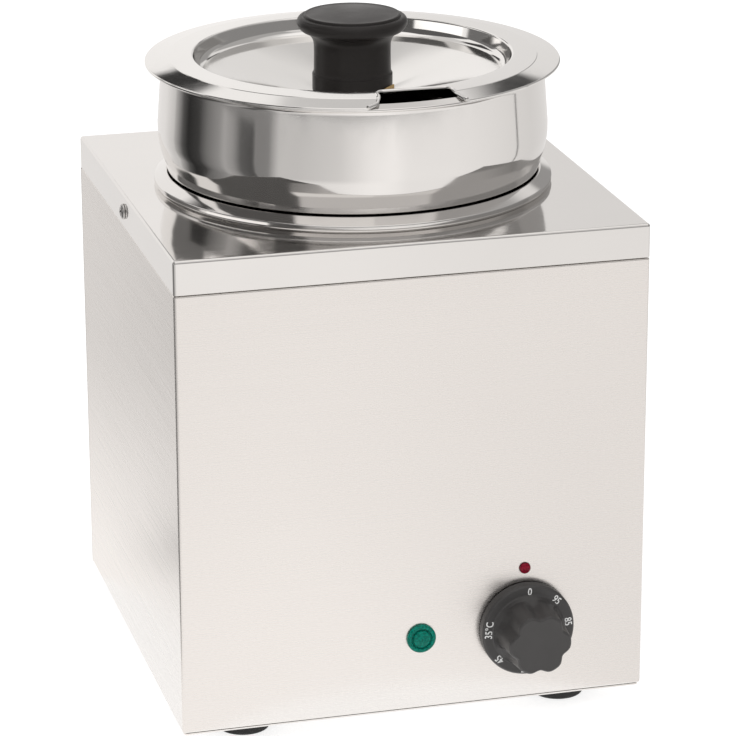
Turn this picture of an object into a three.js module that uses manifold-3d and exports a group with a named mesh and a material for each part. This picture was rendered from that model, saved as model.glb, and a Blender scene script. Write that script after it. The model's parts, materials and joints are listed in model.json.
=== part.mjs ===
// Soup kettle: a square water-bath housing with a lift-out pot, a notched lid and a thermostat dial.
// Millimetres, +Z up. The origin is on the floor under the pot's axis, and the front faces -Y.
import * as THREE from 'three';
import { mergeVertices } from 'three/addons/utils/BufferGeometryUtils.js';
import Module from 'manifold-3d';

const wasm = await Module();
wasm.setup();

// Housing
const WIDTH = 265;
const HALF = WIDTH / 2;
const SHEET = 1;
const FIT = 0.3; // clearance between neighbouring sheets
const CORNER = 2; // bend radius of the housing's upright corners
const BASE_Z = 10.1; // underside of the base plate
const CASING_Z = 11.4;
const COVER_TOP = 282.5;
const SKIRT = 19;
const CASING_TOP = COVER_TOP - SKIRT - 0.5;
const LIP = 13; // height of the casing's inner lip, which the cover's skirt closes over
const FLANGE = 12; // width of the casing's inner flanges

// Well, pot and lid, all turned about the pot's axis
const ROUND = 36; // sides of the large turned pieces
const WELL_R = 104.7; // inside
const WELL_FLOOR = 114;
const BEAD_R = 4;
const BEAD_Z = COVER_TOP + BEAD_R + 0.1;
const POT_R = 102; // outside of the lower body
const POT_FLOOR = 140;
const POT_BULGE_R = 110;
const POT_BEND_R = 20;
const POT_BEND_Z = 302.2;
const POT_NECK_R = 107.7; // the collar's outside where the rim flares out from it
const RIM_Z = 353.4; // top of the pot's flared rim
const RIM_R = 113.8;
const LID_R = 116.5;
const LID_Z = 356; // top of the flat ring, which rests over the pot's rim
const LID_CREASE_R = 103.7; // where the flat ring ends and the brim slopes down
const LID_EDGE_Z = 352.6;
const LID_STEP_R = 88.6;
const LID_DISC_Z = 349.8; // edge of the sunk disc
const LID_CENTRE_Z = 331.9; // the disc is dished down to this level at the knob
const LID_CENTRE_R = 26;
const NOTCH = { x: 9.6, rimHalf: 28, innerHalf: 20.2, innerY: -91.3, round: 4 };
const KNOB_R = 31;
const KNOB_NECK_R = 21.8;
const KNOB_HEIGHT = 44.8;
const KNOB_Z = 334.1;
const KNOB_COLLAR_R = KNOB_NECK_R + 0.8;
const WASHER_R = 21.4;
const WASHER_TAB = { half: 5.5, thick: 0.9, top: 338.6, turn: 48 };

// Controls, on the front panel
const DIAL_X = 63.5;
const DIAL_Z = 54.2;
const DIAL_R = 26.8;
const DIAL_PROUD = 30;
const GRIP_R = 20;
const SHAFT_R = 3;
const RED_X = 63;
const RED_Z = 89;
const GREEN_X = 3.2;
const GREEN_Z = 53.5;

// Feet, fixings and cable entry
const FOOT = { x: 92, y: 104, r: 15, height: 10 };
const BASE_SCREW = { x: 126, y: 80 };
const REAR_SCREW = { x: 125, low: 42, high: 232 };
const COVER_SCREW_Z = COVER_TOP - SKIRT / 2;
const GLAND = { x: -60, z: 40, proud: 30 };

// Heater, under the well's floor
const HEATER_PLATE = { r: 75, top: WELL_FLOOR - SHEET - FIT, thick: 3 };
const ELEMENT = { r: 55, tube: 4.1, z: 105.3 };

const finishes = {
  steel: { color: 0xc9c7c3, roughness: 0.32, metalness: 1 },
  polished: { color: 0xd4d2ce, roughness: 0.12, metalness: 1 },
  aluminium: { color: 0xb9bcc0, roughness: 0.45, metalness: 1 },
  zinc: { color: 0xaeb0b2, roughness: 0.4, metalness: 1 },
  brass: { color: 0xb98a45, roughness: 0.35, metalness: 1 },
  blackPlastic: { color: 0x322f2e, roughness: 0.45, metalness: 0 },
  dialPlastic: { color: 0x403e3d, roughness: 0.4, metalness: 0 },
  greyPlastic: { color: 0x8a8c8e, roughness: 0.6, metalness: 0 },
  whitePlastic: { color: 0xe4e2dc, roughness: 0.6, metalness: 0 },
  rubber: { color: 0x1f1f1f, roughness: 0.9, metalness: 0 },
  green: { color: 0x107869, roughness: 0.25, metalness: 0 },
  red: { color: 0x8a1f30, roughness: 0.25, metalness: 0 },
};

// ---- geometry helpers ----

/** The geometry with its shared corners merged and its zero-area triangles dropped. */
function welded(geometry) {
  const bare = geometry.clone();
  bare.deleteAttribute('normal');
  bare.deleteAttribute('uv');
  const merged = mergeVertices(bare, 1e-4);
  const faces = [];
  const index = merged.index.array;
  for (let i = 0; i < index.length; i += 3) {
    const [a, b, c] = [index[i], index[i + 1], index[i + 2]];
    if (a !== b && b !== c && c !== a) {
      faces.push(a, b, c);
    }
  }
  merged.setIndex(faces);
  return merged;
}

/** A closed geometry as a solid that can be cut and joined. */
function solid(geometry) {
  const closed = welded(geometry);
  return new wasm.Manifold(new wasm.Mesh({
    numProp: 3,
    vertProperties: new Float32Array(closed.attributes.position.array),
    triVerts: new Uint32Array(closed.index.array),
  }));
}

/** A cut or joined solid as a geometry. */
function geometryOf(manifold) {
  const { vertProperties, triVerts } = manifold.getMesh();
  const geometry = new THREE.BufferGeometry();
  geometry.setAttribute('position', new THREE.BufferAttribute(vertProperties, 3));
  geometry.setIndex(new THREE.BufferAttribute(triVerts, 1));
  geometry.computeVertexNormals();
  return geometry;
}

function joined(...solids) {
  return solids.reduce((whole, next) => whole.add(next));
}

function cut(whole, ...tools) {
  return tools.reduce((rest, tool) => rest.subtract(tool), whole);
}

function box([x0, x1], [y0, y1], [z0, z1]) {
  const geometry = new THREE.BoxGeometry(x1 - x0, y1 - y0, z1 - z0);
  return geometry.translate((x0 + x1) / 2, (y0 + y1) / 2, (z0 + z1) / 2);
}

/** Points of an arc in a turned profile, from one angle to another, in degrees. */
function arc(r, z, radius, from, to, steps) {
  const points = [];
  for (let i = 0; i <= steps; i += 1) {
    const angle = THREE.MathUtils.degToRad(from + ((to - from) * i) / steps);
    points.push([r + radius * Math.cos(angle), z + radius * Math.sin(angle)]);
  }
  return points;
}

/** A profile of [radius, height] points turned about +Z. It starts and ends on the axis. */
function turned(profile, sides) {
  const points = profile.map(([r, z]) => new THREE.Vector2(r, z));
  return new THREE.LatheGeometry(points, sides).rotateX(Math.PI / 2);
}

/** A profile that doesn't reach the axis, turned as a closed ring. */
function turnedRing(profile, sides) {
  return turned([...profile, profile[0]], sides);
}

function disc(r, [z0, z1], sides = 24) {
  return turned([[0, z0], [r, z0], [r, z1], [0, z1]], sides);
}

function tube(inner, outer, [z0, z1], sides = 24) {
  return turnedRing([[inner, z0], [outer, z0], [outer, z1], [inner, z1]], sides);
}

/** A disc whose axis runs along Y, between two Y values. */
function discAlongY(r, x, z, [y0, y1], sides = 20) {
  return disc(r, [-y1, -y0], sides).rotateX(Math.PI / 2).translate(x, 0, z);
}

function discAlongX(r, y, z, [x0, x1], sides = 16) {
  return disc(r, [x0, x1], sides).rotateY(Math.PI / 2).translate(0, y, z);
}

function polygonOf(points) {
  return new THREE.Shape(points.map(([x, y]) => new THREE.Vector2(x, y)));
}

/** Outline points of a rectangle with rounded corners, centred on x, y. */
function roundedOutline(x, y, halfX, halfY, radius, steps = 3) {
  const corners = [[1, -1, 270], [1, 1, 0], [-1, 1, 90], [-1, -1, 180]];
  return corners.flatMap(([sx, sy, from]) => arc(
    x + sx * (halfX - radius), y + sy * (halfY - radius), radius, from, from + 90, steps,
  ));
}

function extruded(shape, [z0, z1]) {
  const geometry = new THREE.ExtrudeGeometry(shape, { depth: z1 - z0, bevelEnabled: false, steps: 1 });
  return geometry.translate(0, 0, z0);
}

/** A square tube of sheet, standing on the XY plane. */
function sleeve(half, thickness, span) {
  const outer = polygonOf(roundedOutline(0, 0, half, half, CORNER));
  const inside = half - thickness;
  outer.holes.push(polygonOf(roundedOutline(0, 0, inside, inside, CORNER / 2)));
  return solid(extruded(outer, span));
}

/** A round rod or wire along a smooth path. */
function rod(points, radius, steps, sides = 6) {
  const path = new THREE.CatmullRomCurve3(points.map((point) => new THREE.Vector3(...point)));
  const section = polygonOf(arc(0, 0, radius, 0, 360, sides).slice(0, sides));
  return new THREE.ExtrudeGeometry(section, { extrudePath: path, steps, bevelEnabled: false });
}

/** A pan-head screw along +Z: the head's underside is at 0 and the shank runs down. */
function screw(headR, headHeight, shankR, length) {
  const rounded = headR * 0.72;
  return turned([
    [0, -length], [shankR, -length], [shankR, 0], [headR, 0],
    [headR, headHeight * 0.45], [rounded, headHeight], [0, headHeight],
  ], 8);
}

/** A hexagonal ring, such as a nut, along +Z. */
function hexRing(holeR, acrossFlats, [z0, z1]) {
  const corner = acrossFlats / 2 / Math.cos(Math.PI / 6);
  const outline = polygonOf(arc(0, 0, corner, 0, 360, 6).slice(0, 6));
  outline.holes.push(polygonOf(arc(0, 0, holeR, 0, 360, 18).slice(0, 18)));
  return extruded(outline, [z0, z1]);
}

/** One named piece, added to the assembly it belongs to. */
function add(group, name, geometry, finish, position = [0, 0, 0], rotation = [0, 0, 0]) {
  const piece = new THREE.Mesh(geometry, new THREE.MeshStandardMaterial(finishes[finish]));
  piece.name = name;
  piece.position.set(...position);
  piece.rotation.set(...rotation);
  group.add(piece);
}

const TO_FRONT = [Math.PI / 2, 0, 0]; // turns +Z to -Y
const TO_REAR = [-Math.PI / 2, 0, 0]; // turns +Z to +Y
const FRONT_Y = -HALF;
const SIDES = [['left', -1], ['right', 1]];
const ENDS = [['front', -1], ['rear', 1]];

// ---- housing ----

/** Front and both sides in one bent sheet, with a lip for the cover and flanges at the foot and rear. */
function casing() {
  const inset = SHEET + FIT;
  const rearFace = HALF - inset;
  const shell = joined(
    sleeve(HALF, SHEET, [CASING_Z, CASING_TOP]),
    sleeve(HALF, inset + SHEET, [CASING_TOP - SHEET, CASING_TOP]),
    sleeve(HALF - inset, SHEET, [CASING_TOP - SHEET, CASING_TOP + LIP]),
    sleeve(HALF, FLANGE, [CASING_Z, CASING_Z + SHEET]),
  );
  const window = HALF - SHEET - FLANGE;
  const openBack = [
    solid(box([-window, window], [HALF - FLANGE - 2, HALF + 1], [0, COVER_TOP])),
    solid(box([-HALF - 1, HALF + 1], [rearFace, HALF + 1], [0, COVER_TOP])),
  ];
  const returns = SIDES.map(([, side]) => {
    const span = [side * window, side * (HALF - SHEET / 2)].sort((a, b) => a - b);
    return solid(box(span, [rearFace - SHEET, rearFace], [CASING_Z, CASING_TOP]));
  });
  const frontHoles = [
    discAlongY(6, DIAL_X, DIAL_Z, [-HALF - 1, -HALF + 2]),
    discAlongY(3.4, RED_X, RED_Z, [-HALF - 1, -HALF + 2], 14),
    discAlongY(6.6, GREEN_X, GREEN_Z, [-HALF - 1, -HALF + 2]),
  ];
  const sideHoles = SIDES.map(([, side]) => {
    const span = [side * (HALF + 1), side * (HALF - 4)].sort((a, b) => a - b);
    return discAlongX(2.2, 0, COVER_SCREW_Z, span, 10);
  });
  const footHoles = SIDES.flatMap(([, sx]) => ENDS.map(([, sy]) => (
    disc(1.9, [0, 20], 8).translate(sx * BASE_SCREW.x, sy * BASE_SCREW.y, 0))));
  const rearHoles = SIDES.flatMap(([, sx]) => [REAR_SCREW.low, REAR_SCREW.high].map((z) => (
    discAlongY(1.9, sx * REAR_SCREW.x, z, [HALF - 5, HALF + 1], 8))));
  const holes = [...frontHoles, ...sideHoles, ...footHoles, ...rearHoles].map(solid);
  return geometryOf(cut(joined(cut(shell, ...openBack), ...returns), ...holes));
}

/** The flat rear sheet, with ventilation slots, the cable hole and a lip that goes under the cover. */
function rearPanel() {
  const inset = SHEET + FIT;
  const lipHalf = HALF - SHEET - FLANGE - 0.5;
  const sheet = solid(box([-HALF, HALF], [HALF - SHEET, HALF], [CASING_Z, CASING_TOP]));
  const step = solid(box([-lipHalf, lipHalf], [HALF - inset - SHEET, HALF],
    [CASING_TOP - SHEET, CASING_TOP]));
  const lip = solid(box([-lipHalf, lipHalf], [HALF - inset - SHEET, HALF - inset],
    [CASING_TOP - SHEET, CASING_TOP + LIP]));
  const slots = [-30, 30].flatMap((x) => [0, 1, 2, 3].map((row) => (
    solid(box([x - 22, x + 22], [HALF - 3, HALF + 1], [196 + row * 10, 200 + row * 10])))));
  const screws = SIDES.flatMap(([, sx]) => [REAR_SCREW.low, REAR_SCREW.high].map((z) => (
    solid(discAlongY(1.9, sx * REAR_SCREW.x, z, [HALF - 3, HALF + 1], 8)))));
  const cable = solid(discAlongY(10.2, GLAND.x, GLAND.z, [HALF - 3, HALF + 1], 24));
  return geometryOf(cut(joined(sheet, step, lip), ...slots, ...screws, cable));
}

function basePlate() {
  const half = HALF - SHEET;
  const plate = polygonOf(roundedOutline(0, 0, half, half, CORNER));
  for (const [, sx] of SIDES) {
    for (const [, sy] of ENDS) {
      plate.holes.push(polygonOf(arc(sx * FOOT.x, sy * FOOT.y, 2.4, 0, 360, 8).slice(0, 8)));
      const { x, y } = BASE_SCREW;
      plate.holes.push(polygonOf(arc(sx * x, sy * y, 1.9, 0, 360, 8).slice(0, 8)));
    }
  }
  for (const y of [-40, -24, -8, 8, 24, 40]) {
    plate.holes.push(polygonOf(roundedOutline(0, y, 28, 2.2, 2, 1)));
  }
  return extruded(plate, [BASE_Z, BASE_Z + SHEET]);
}

/** The square lid of the housing: a flat sheet with the well's hole, and a skirt round its edge. */
function topCover() {
  const top = polygonOf(roundedOutline(0, 0, HALF, HALF, CORNER));
  top.holes.push(polygonOf(arc(0, 0, WELL_R + SHEET + 0.9, 0, 360, ROUND).slice(0, ROUND)));
  const sheet = solid(extruded(top, [COVER_TOP - SHEET, COVER_TOP]));
  const skirt = sleeve(HALF, SHEET, [COVER_TOP - SKIRT, COVER_TOP]);
  const holes = SIDES.map(([, side]) => {
    const span = [side * (HALF + 1), side * (HALF - 3)].sort((a, b) => a - b);
    return solid(discAlongX(2.2, 0, COVER_SCREW_Z, span, 10));
  });
  return geometryOf(cut(joined(sheet, skirt), ...holes));
}

/** The water bath: a deep drawn bucket whose rim is a rolled bead standing on the cover. */
function well() {
  const outer = WELL_R + SHEET;
  const bend = 8;
  const under = WELL_FLOOR - SHEET;
  return turned([
    [0, under],
    ...arc(outer - bend, under + bend, bend, -90, 0, 2),
    ...arc(outer + BEAD_R - SHEET, BEAD_Z, BEAD_R, 222, 540, 9),
    ...arc(outer - bend, under + bend, bend - SHEET, 0, -90, 2),
    [0, WELL_FLOOR],
  ], ROUND);
}

function foot() {
  const { r, height } = FOOT;
  return turnedRing([[6.5, 0], [r - 1, 0], [r, 1.2], [r, height], [2.4, height], [2.4, 5], [6.5, 5]], 16);
}

function addHousing(group) {
  add(group, 'casing', casing(), 'steel');
  add(group, 'rear_panel', rearPanel(), 'steel');
  add(group, 'base_plate', basePlate(), 'steel');
  add(group, 'top_cover', topCover(), 'polished');
  add(group, 'well', well(), 'polished');
  for (const [end, sy] of ENDS) {
    for (const [side, sx] of SIDES) {
      const [x, y] = [sx * FOOT.x, sy * FOOT.y];
      add(group, `foot_${end}_${side}`, foot(), 'rubber', [x, y, 0]);
      add(group, `foot_screw_${end}_${side}`, screw(4.3, 2.4, 2, 12), 'zinc', [x, y, 4.8], [Math.PI, 0, 0]);
      add(group, `base_screw_${end}_${side}`, screw(3.4, 2, 1.6, 6), 'zinc',
        [sx * BASE_SCREW.x, sy * BASE_SCREW.y, BASE_Z - 0.1], [Math.PI, 0, 0]);
    }
  }
  for (const [level, z] of [['low', REAR_SCREW.low], ['high', REAR_SCREW.high]]) {
    for (const [side, sx] of SIDES) {
      add(group, `rear_screw_${level}_${side}`, screw(3.4, 2, 1.6, 8), 'zinc',
        [sx * REAR_SCREW.x, HALF + 0.1, z], TO_REAR);
    }
  }
  for (const [side, sx] of SIDES) {
    add(group, `cover_screw_${side}`, screw(4.4, 2.2, 1.9, 8), 'polished',
      [sx * (HALF + 0.1), 0, COVER_SCREW_Z], [0, (sx * Math.PI) / 2, 0]);
  }
}

// ---- heater ----

function heatingElement() {
  const { r, z } = ELEMENT;
  const ring = [];
  for (let angle = 32; angle <= 328; angle += 18.5) {
    const turn = THREE.MathUtils.degToRad(angle);
    ring.push([-r * Math.sin(turn), -r * Math.cos(turn), z]);
  }
  const tail = (side) => [[side * 12, -92, z], [side * 12, -76, z], [side * 16, -60, z]];
  return rod([...tail(-1), ...ring, ...tail(1).reverse()], ELEMENT.tube, 38, 6);
}

/** The bar that presses the element against its plate, dished to clear the tube. */
function heaterBridge(z0, z1) {
  const bar = solid(box([-66, 66], [-8, 8], [z0, z1]));
  return geometryOf(cut(bar, solid(disc(3.6, [z0 - 1, z1 + 1], 12))));
}

function addHeater(group) {
  const { r, top, thick } = HEATER_PLATE;
  const bridgeTop = ELEMENT.z - ELEMENT.tube - 0.2;
  const bridgeUnder = bridgeTop - 3;
  add(group, 'heater_plate', tube(4, r, [top - thick, top], 24), 'aluminium');
  add(group, 'heating_element', heatingElement(), 'zinc');
  add(group, 'heater_bridge', heaterBridge(bridgeUnder, bridgeTop), 'zinc');
  add(group, 'heater_stud', disc(3, [86, WELL_FLOOR - SHEET - 0.1], 12), 'zinc');
  add(group, 'heater_nut', hexRing(3.3, 10, [bridgeUnder - 5.2, bridgeUnder - 0.2]), 'zinc');
  add(group, 'safety_cutout', turned([
    [0, 95], [8, 95], [8, 103], [11, 103], [11, 105], [9, 105],
    [9, top - thick - 0.2], [0, top - thick - 0.2],
  ], 16), 'blackPlastic', [0, 28, 0]);
}

// ---- thermostat, terminals and wires ----

/** The thermostat's case behind the panel, with the collar that comes through it round the shaft. */
function thermostatBody() {
  const back = -HALF + SHEET;
  const body = solid(box([DIAL_X - 21, DIAL_X + 21], [back + 0.3, back + 31], [DIAL_Z - 18, DIAL_Z + 18]));
  const collar = solid(discAlongY(5.4, DIAL_X, DIAL_Z, [-HALF - 3.4, back + 1]));
  const bore = solid(discAlongY(SHAFT_R + 0.3, DIAL_X, DIAL_Z, [-HALF - 5, back + 20]));
  return geometryOf(cut(joined(body, collar), bore));
}

/** The sensing bulb under the well's floor and the thin tube that joins it to the thermostat. */
function thermostatBulb() {
  const start = [DIAL_X + 12, -HALF + 20, DIAL_Z + 19.6];
  const bulbY = 86;
  const bulbZ = 108;
  const route = [
    start, [DIAL_X + 14, -104, 84], [96, -84, 92], [102, -20, 94],
    [98, 40, 98], [74, 76, 104], [46, bulbY, bulbZ], [30, bulbY, bulbZ],
  ];
  const capillary = solid(rod(route, 1.1, 20, 5));
  const bulb = solid(discAlongX(3, bulbY, bulbZ, [-36, 34], 12));
  return geometryOf(joined(capillary, bulb));
}

function bulbClip() {
  const clip = solid(box([-10, 10], [79, 93], [103.6, WELL_FLOOR - SHEET - FIT]));
  const seat = solid(box([-12, 12], [82.6, 89.4], [104.6, WELL_FLOOR]));
  return geometryOf(cut(clip, seat));
}

function addControls(group) {
  add(group, 'thermostat_body', thermostatBody(), 'greyPlastic');
  add(group, 'thermostat_bulb', thermostatBulb(), 'zinc');
  add(group, 'bulb_clip', bulbClip(), 'zinc');
  add(group, 'terminal_block', box([-84, -40], [62, 82], [BASE_Z + SHEET + 0.2, 29]), 'whitePlastic');
  add(group, 'earth_screw', screw(4, 2.4, 2, 9), 'zinc', [-100, 60, 22], [Math.PI, 0, 0]);

  const live = [[-52, 61.5, 22], [-50, 40, 26], [10, -20, 28], [50, -80, 36], [58, -99.5, 42]];
  const switched = [[68, -99.5, 60], [66, -90, 72], [40, -96, 90], [20, -104, 102], [12.5, -93.5, 105.3]];
  const neutral = [[-72, 61.5, 22], [-72, 40, 30], [-60, -50, 60], [-30, -100, 96], [-12.5, -93.5, 105.3]];
  const signal = [[-62, 61.5, 22], [-62, 40, 24], [-30, -40, 30], [0, -90, 44], [5.5, -101.5, 51]];
  add(group, 'wire_live', rod(live, 1.2, 10, 5), 'rubber');
  add(group, 'wire_switched', rod(switched, 1.2, 10, 5), 'rubber');
  add(group, 'wire_neutral', rod(neutral, 1.2, 12, 5), 'rubber');
  add(group, 'wire_signal', rod(signal, 1.2, 10, 5), 'rubber');
}

// ---- lamps ----

/** Each lamp is a lens in front of the panel, a holder through it and a spring clip behind. */
function addLamps(group) {
  const green = [GREEN_X, FRONT_Y, GREEN_Z];
  add(group, 'green_lamp_lens', turned([
    [0, 0.2], [8.2, 0.2], [8.3, 1.4], [7.6, 2.4], [6.2, 2.4], [5.6, 1], [5, 1], [4.8, 2.2], [3, 2.9], [0, 3.2],
  ], 18), 'green', green, TO_FRONT);
  add(group, 'green_lamp_body', disc(6.2, [-28, 0], 16), 'blackPlastic', green, TO_FRONT);
  add(group, 'green_lamp_clip', tube(6.5, 9, [-3.4, -1.3], 16), 'zinc', green, TO_FRONT);
  const red = [RED_X, FRONT_Y, RED_Z];
  add(group, 'red_lamp_lens', turned([[0, 0.2], [3.15, 0.2], [3.15, 1], [2.3, 1.9], [0, 2.4]], 16),
    'red', red, TO_FRONT);
  add(group, 'red_lamp_body', disc(3, [-16, 0], 12), 'blackPlastic', red, TO_FRONT);
  add(group, 'red_lamp_clip', tube(3.3, 5, [-3, -1.3], 12), 'zinc', red, TO_FRONT);
}

// ---- cable entry ----

/** Threaded gland body, dome nut, rubber seal and locknut. */
function addGland(group) {
  const place = [GLAND.x, HALF, GLAND.z];
  const body = joined(
    solid(tube(5.6, 9.8, [-10, 12], 16)),
    solid(hexRing(9, 24, [0.1, 6])),
  );
  add(group, 'gland_body', geometryOf(body), 'blackPlastic', place, TO_REAR);
  const dome = solid(turnedRing([
    [10.1, 6.2], [12, 6.2], [12, 20], [10.6, 27], [9, GLAND.proud], [4.4, GLAND.proud],
    [4.4, 26], [8, 19], [8, 13.5], [10.1, 13.5],
  ], 16));
  const grip = solid(hexRing(11, 24, [6.2, 16]));
  add(group, 'gland_nut', geometryOf(joined(dome, grip)), 'blackPlastic', place, TO_REAR);
  add(group, 'gland_seal', tube(3.8, 7.6, [12.3, 19], 16), 'rubber', place, TO_REAR);
  add(group, 'gland_locknut', hexRing(10.1, 26, [-6.4, -1.3]), 'blackPlastic', place, TO_REAR);
}

// ---- dial ----

/** Moulded knob: a flat scale disc with a tapered six-lobed grip in front of it. */
function dialKnob() {
  const discFront = 6;
  const base = solid(turned([[0, 0.8], [DIAL_R, 0.8], [DIAL_R, 4.6], [DIAL_R - 1.2, discFront], [0, discFront]], 30));
  const outline = [];
  const steps = 36;
  for (let i = 0; i < steps; i += 1) {
    const angle = (2 * Math.PI * i) / steps;
    const reach = GRIP_R * (0.93 + 0.07 * Math.cos(6 * angle));
    outline.push([reach * Math.sin(angle), reach * Math.cos(angle)]);
  }
  const grip = extruded(polygonOf(outline.reverse()), [discFront - 0.5, DIAL_PROUD]);
  const corners = grip.attributes.position;
  const taper = 0.74;
  for (let i = 0; i < corners.count; i += 1) {
    if (corners.getZ(i) > discFront) {
      corners.setXY(i, corners.getX(i) * taper, corners.getY(i) * taper);
    }
  }
  const bores = [
    solid(disc(8, [0, 4.2], 20)),
    solid(disc(4.8, [4, 13], 16)),
    solid(disc(SHAFT_R + 0.3, [12, 26], 16)),
  ];
  return geometryOf(cut(joined(base, solid(grip)), ...bores));
}

function addDial(group) {
  add(group, 'dial_knob', dialKnob(), 'dialPlastic');
  add(group, 'dial_clip', tube(SHAFT_R + 0.3, 4.5, [5, 11], 16), 'zinc');
  add(group, 'thermostat_shaft', disc(SHAFT_R, [-18, 25], 16), 'zinc');
  group.position.set(DIAL_X, FRONT_Y, DIAL_Z);
  group.rotation.set(...TO_FRONT);
}

// ---- pot and lid ----

/** The stepped pot: a straight lower body, a bend that rests on the well's bead, a collar and a flared rim. */
function pot() {
  const bend = 8;
  const centre = POT_BULGE_R - POT_BEND_R;
  return turned([
    [0, POT_FLOOR],
    ...arc(POT_R - bend, POT_FLOOR + bend, bend, -90, 0, 2),
    ...arc(centre, POT_BEND_Z, POT_BEND_R, -52, 0, 4),
    [POT_NECK_R, RIM_Z - 6], [POT_NECK_R + 0.8, RIM_Z - 3.2], [POT_NECK_R + 2.4, RIM_Z - 1.8],
    [RIM_R - 1.5, RIM_Z - 2.4], [RIM_R - 1.1, RIM_Z - 3.2], [RIM_R - 0.4, RIM_Z - 3.3],
    [RIM_R, RIM_Z - 2.6], [RIM_R - 0.2, RIM_Z - 1.8], [RIM_R - 1.1, RIM_Z - 1.4],
    [POT_NECK_R + 0.3, RIM_Z], [POT_NECK_R - 0.6, RIM_Z - 0.3], [POT_NECK_R - SHEET, RIM_Z - 1.3],
    [POT_NECK_R - SHEET, RIM_Z - 6],
    ...arc(centre, POT_BEND_Z, POT_BEND_R - SHEET, 0, -54, 4),
    ...arc(POT_R - bend, POT_FLOOR + bend, bend - SHEET, 0, -90, 2),
    [0, POT_FLOOR + SHEET],
  ], ROUND);
}

/** The cutter for the ladle notch in the lid's edge: wide at the rim, with rounded inner corners. */
function notchCutter() {
  const { x, rimHalf, innerHalf, innerY, round } = NOTCH;
  const end = -LID_R - 4;
  const outline = [
    [x + rimHalf, end],
    ...arc(x + innerHalf - round, innerY - round, round, 11, 90, 3),
    ...arc(x - innerHalf + round, innerY - round, round, 90, 169, 3),
    [x - rimHalf, end],
  ];
  return solid(extruded(polygonOf(outline), [LID_DISC_Z - 5, LID_Z + 5]));
}

/** The pressed lid: a dished disc, a step up to a flat ring, and a brim that slopes to a rolled edge. */
function lidPlate() {
  const holeR = 3.3;
  const plate = solid(turnedRing([
    [holeR, LID_CENTRE_Z - SHEET], [LID_CENTRE_R, LID_CENTRE_Z - SHEET],
    [LID_STEP_R - 4.3, LID_DISC_Z - 2], [LID_STEP_R - 1.4, LID_DISC_Z - 0.2],
    [LID_STEP_R + 0.9, LID_Z - 1.8], [LID_STEP_R + 2, LID_Z - SHEET],
    [LID_CREASE_R - 0.3, LID_Z - SHEET], [LID_R - 2, LID_EDGE_Z - 0.4],
    [LID_R - 0.7, LID_EDGE_Z - 1], [LID_R, LID_EDGE_Z - 0.2], [LID_R - 0.4, LID_EDGE_Z + 0.4],
    [LID_R - 1.3, LID_EDGE_Z + 0.7], [LID_CREASE_R + 0.7, LID_Z - 0.2], [LID_CREASE_R - 0.8, LID_Z],
    [LID_STEP_R + 1.2, LID_Z], [LID_STEP_R, LID_Z - 1.2], [LID_STEP_R - 2.2, LID_DISC_Z + 0.4],
    [LID_STEP_R - 4.8, LID_DISC_Z - 1.1], [LID_CENTRE_R, LID_CENTRE_Z], [holeR, LID_CENTRE_Z],
  ], ROUND));
  return geometryOf(cut(plate, notchCutter()));
}

/** Mushroom knob: a collar at its foot, a straight neck, a flared cap and a ridge round its domed top. */
function lidKnob() {
  const neck = KNOB_NECK_R;
  const collar = KNOB_COLLAR_R;
  return turned([
    [0, 16], [3.3, 16], [3.3, 0], [collar - 0.5, 0], [collar, 0.8], [collar, 9.9],
    [neck, 10.8], [neck, 26], [neck + 0.8, 30.1], [neck + 4.7, 34.1], [KNOB_R - 2.2, 35.2],
    [KNOB_R - 0.6, 36.7], [KNOB_R, 39.5], [KNOB_R - 0.8, 41.5], [KNOB_R - 2.7, 42.6], [KNOB_R - 3.9, 42.9],
    [KNOB_R - 4.2, 43.8], [KNOB_R - 5.4, 43.9], [14, 44.5], [0, KNOB_HEIGHT],
  ], 28);
}

/** A washer with one tab bent up against the knob's collar, which keeps the knob from turning. */
function knobWasher() {
  const span = [LID_CENTRE_Z + 0.1, KNOB_Z - 0.1];
  const { half, thick, top } = WASHER_TAB;
  const near = KNOB_COLLAR_R + 0.12;
  const foot = solid(box([-half, half], [-near - thick, -18], span));
  const tab = solid(box([-half, half], [-near - thick, -near], [span[0], top]));
  return geometryOf(joined(solid(tube(3.3, WASHER_R, span, 28)), foot, tab));
}

function addLid(group) {
  add(group, 'lid_plate', lidPlate(), 'polished');
  add(group, 'lid_knob', lidKnob(), 'blackPlastic', [0, 0, KNOB_Z]);
  add(group, 'knob_washer', knobWasher(), 'brass', [0, 0, 0], [0, 0, THREE.MathUtils.degToRad(WASHER_TAB.turn)]);
  add(group, 'knob_screw', screw(5.5, 3, 2.8, 16), 'zinc', [0, 0, LID_CENTRE_Z - SHEET - 0.2], [Math.PI, 0, 0]);
}

// ---- assembly ----

const kettle = new THREE.Group();
const base = new THREE.Group();
const dial = new THREE.Group();
const vessel = new THREE.Group();
const lid = new THREE.Group();
addHousing(base);
addHeater(base);
addControls(base);
addLamps(base);
addGland(base);
addDial(dial);
add(vessel, 'pot', pot(), 'polished');
addLid(lid);
kettle.add(base, dial, vessel, lid);

export default kettle;
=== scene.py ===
import json
import math

import bmesh
import bpy
from mathutils import Matrix, Vector


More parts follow.
